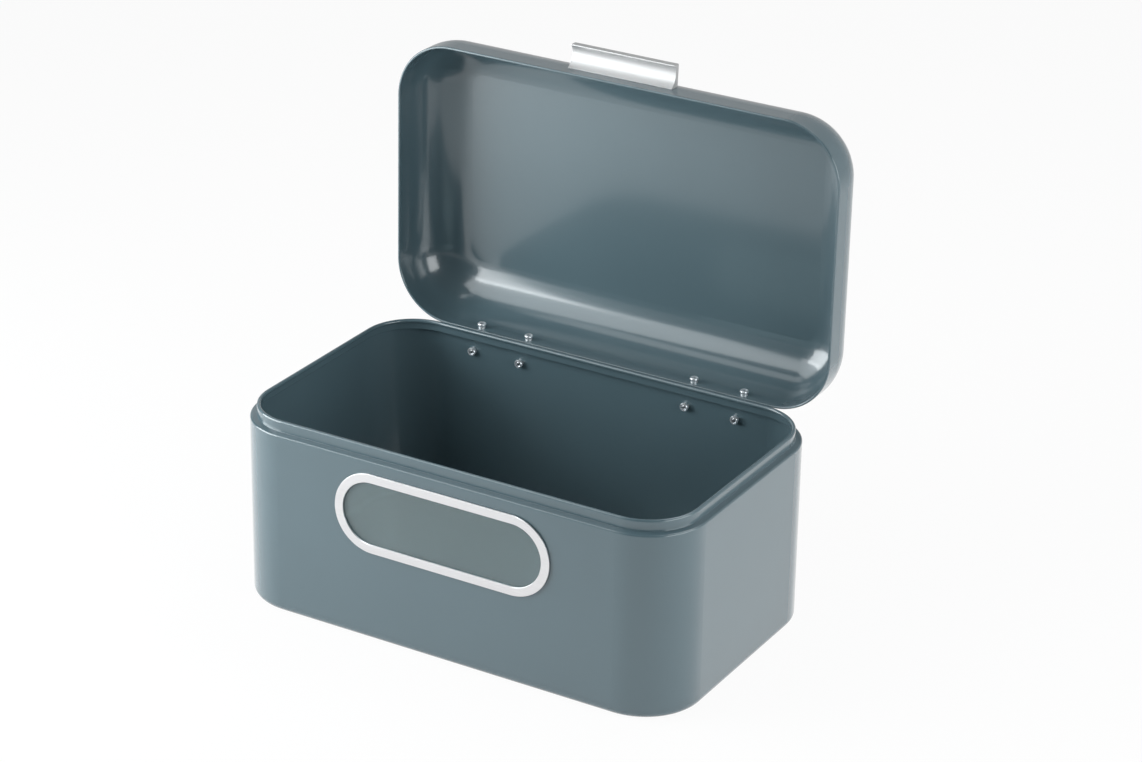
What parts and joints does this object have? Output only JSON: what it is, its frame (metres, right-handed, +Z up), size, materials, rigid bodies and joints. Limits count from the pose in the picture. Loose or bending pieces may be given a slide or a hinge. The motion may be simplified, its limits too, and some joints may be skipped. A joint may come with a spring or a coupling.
{
  "type": "bread box",
  "caption": "Rounded sheet-steel bread box with an oval window framed by a brushed ring, and a deep lid with an aluminium bar handle that swings up on stop hinges at the back.",
  "frame": {"origin": "under the middle of the tub, on the surface that the box stands on", "axes": "+Z up, +X to the right of someone who faces the window, and the window faces -Y"},
  "size_m": [0.305, 0.2296, 0.3174],
  "materials": {
    "paint": "gloss blue-grey enamel",
    "brushed_trim": "fine brushed along its length",
    "clear_pane": "clear and polished",
    "tape": "matt foam tape",
    "handle_aluminium": "brushed along its length",
    "rivet_aluminium": "bright as drawn",
    "hinge_steel": "bright zinc",
    "fastener_steel": "bright zinc"
  },
  "bodies": {
    "body": {"body_shell": "paint", "window_ring": "brushed_trim", "window_ring_tape": "tape", "window_pane": "clear_pane", "window_pane_tape": "tape", "left_hinge_body_leaf": "hinge_steel", "left_hinge_pin": "fastener_steel", "left_body_rivets": "rivet_aluminium", "left_body_rivet_mandrels": "fastener_steel", "right_hinge_body_leaf": "hinge_steel", "right_hinge_pin": "fastener_steel", "right_body_rivets": "rivet_aluminium", "right_body_rivet_mandrels": "fastener_steel"},
    "lid": {"lid_shell": "paint", "lid_handle": "handle_aluminium", "handle_screws": "fastener_steel", "handle_washers": "fastener_steel", "left_hinge_lid_leaf": "hinge_steel", "left_lid_rivets": "rivet_aluminium", "left_lid_rivet_mandrels": "fastener_steel", "right_hinge_lid_leaf": "hinge_steel", "right_lid_rivets": "rivet_aluminium", "right_lid_rivet_mandrels": "fastener_steel"}
  },
  "joints": [
    {"name": "lid_hinge", "type": "hinge", "parent": "body", "child": "lid", "pos_m": [0, 0.094, 0.1181], "axis": [1, 0, 0], "range_deg": [0, 90.7]}
  ]
}
